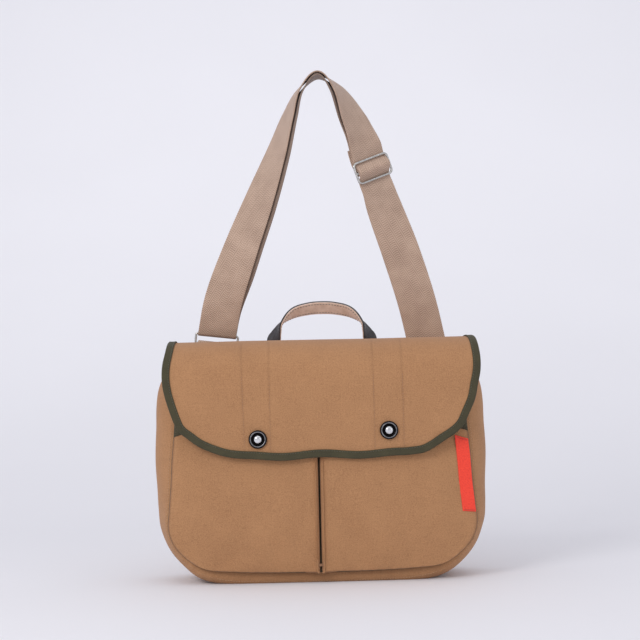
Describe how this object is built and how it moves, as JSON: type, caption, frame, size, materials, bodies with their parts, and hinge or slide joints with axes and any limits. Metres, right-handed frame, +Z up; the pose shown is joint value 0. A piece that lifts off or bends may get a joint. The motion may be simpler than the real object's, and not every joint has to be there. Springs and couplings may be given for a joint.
{
  "type": "game bag",
  "caption": "Canvas game bag with a bound flap, two pleated front pockets, press studs, a carry handle and a webbing shoulder strap.",
  "frame": {"origin": "centre of the flat base, on the surface that the bag stands on", "axes": "+Z up, -Y towards the front with the flap and pockets, +X to the right as seen from the front"},
  "size_m": [0.4036, 0.1303, 0.6229],
  "materials": {
    "canvas": "tan cotton canvas, matt",
    "lining": "dark olive cotton, matt",
    "twill_tape": "olive diagonal twill tape",
    "webbing": "beige woven webbing, slight sheen",
    "leather": "dark smooth leather with a tan underside",
    "nickel": "polished nickel wire",
    "gunmetal": "dark polished metal",
    "orange_tape": "bright orange woven tape"
  },
  "bodies": {
    "root": {"back_panel": "canvas", "gusset": "canvas", "front_panel": "lining", "pocket_left": "canvas", "pocket_right": "canvas", "flap": "canvas", "flap_binding": "twill_tape", "snap_cap_left": "gunmetal", "snap_stud_left": "nickel", "snap_cap_right": "gunmetal", "snap_stud_right": "nickel", "handle": "leather", "shoulder_strap": "webbing", "strap_slider": "nickel", "strap_ring": "nickel", "ring_tab": "webbing", "side_label": "orange_tape"}
  },
  "joints": []
}
